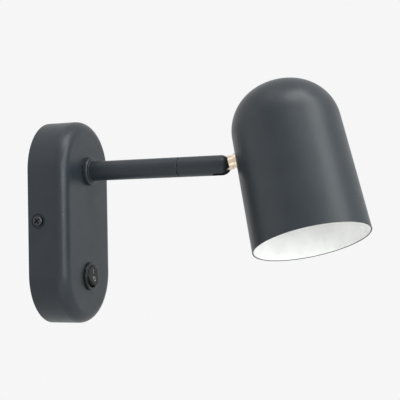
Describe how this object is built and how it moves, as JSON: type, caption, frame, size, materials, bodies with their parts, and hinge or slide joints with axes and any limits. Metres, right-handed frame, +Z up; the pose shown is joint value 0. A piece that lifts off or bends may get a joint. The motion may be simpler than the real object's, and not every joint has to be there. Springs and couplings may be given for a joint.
{
  "type": "bedside wall reading lamp",
  "caption": "Wall reading lamp: deep rounded backplate with a rocker switch, a short swivelling arm and a tilting domed metal shade.",
  "frame": {"origin": "centre of the wall bracket's back face, where the lamp meets the wall", "axes": "-Y out of the wall along the arm, +Y into the wall, +Z up, +X to the right for someone facing the wall"},
  "size_m": [0.1054, 0.2665, 0.1886],
  "materials": {
    "graphite_paint": "satin powder coat",
    "zinc_steel": "zinc plated",
    "screw_steel": "nickel plated",
    "black_screw": "black oxide",
    "champagne_brass": "satin",
    "plain_brass": "bare",
    "black_plastic": "semi-gloss",
    "nylon": "matt",
    "block_plastic": "matt",
    "grommet_rubber": "matt",
    "holder_ceramic": "unglazed",
    "bulb_plastic": "satin",
    "bulb_lens": "opal",
    "board_aluminium": "satin"
  },
  "bodies": {
    "wall_unit": {"wall_cover": "graphite_paint", "wall_bracket": "zinc_steel", "cover_screws": "black_screw", "cable_grommet": "grommet_rubber", "earth_clamp_washer": "zinc_steel", "earth_screw": "plain_brass", "terminal_block": "block_plastic", "terminal_sleeves": "plain_brass", "terminal_screws": "screw_steel", "terminal_block_screw": "screw_steel", "switch_housing": "black_plastic", "switch_terminals": "plain_brass", "arm_collar": "graphite_paint", "arm_tube": "graphite_paint", "arm_root_plug": "screw_steel", "arm_nipple": "zinc_steel", "arm_lock_washer": "zinc_steel", "arm_nut": "zinc_steel", "swivel_bush": "plain_brass"},
    "rocker": {"switch_rocker": "black_plastic", "switch_plunger": "nylon", "switch_spring": "zinc_steel"},
    "contact": {"switch_contact": "plain_brass"},
    "swivel_arm": {"fork_arm": "graphite_paint", "swivel_spindle": "screw_steel", "swivel_wave_washer": "zinc_steel", "swivel_stop_pin": "zinc_steel", "pivot_screw": "screw_steel", "pivot_washers": "nylon"},
    "head": {"hinge_knuckle": "champagne_brass", "shade": "graphite_paint", "knuckle_spacer": "zinc_steel", "knuckle_lock_washer": "zinc_steel", "knuckle_nut": "zinc_steel", "holder_strip": "zinc_steel", "holder_screws": "screw_steel", "lamp_holder": "holder_ceramic", "holder_contacts": "plain_brass", "bulb_body": "bulb_plastic", "bulb_lens": "bulb_lens", "bulb_board": "board_aluminium", "bulb_pins": "plain_brass"}
  },
  "joints": [
    {"name": "arm_swivel", "type": "hinge", "parent": "wall_unit", "child": "swivel_arm", "pos_m": [0, -0.114, 0.0415], "axis": [0, 1, 0], "range_deg": [-172.5, 147.5]},
    {"name": "shade_tilt", "type": "hinge", "parent": "swivel_arm", "child": "head", "pos_m": [0, -0.149, 0.0415], "axis": [-0.9763, 0, 0.2164], "range_deg": [-89.3, 60.7]},
    {"name": "switch_rocker", "type": "hinge", "parent": "wall_unit", "child": "rocker", "pos_m": [0, -0.0315, -0.0445], "axis": [1, 0, 0], "range_deg": [0, 18]},
    {"name": "contact_rock", "type": "hinge", "parent": "wall_unit", "child": "contact", "pos_m": [0, -0.022, -0.0445], "axis": [1, 0, 0], "range_deg": [-18, 0]}
  ],
  "couplings": [
    {"joint": "contact_rock", "follows": "switch_rocker", "ratio": -1}
  ]
}
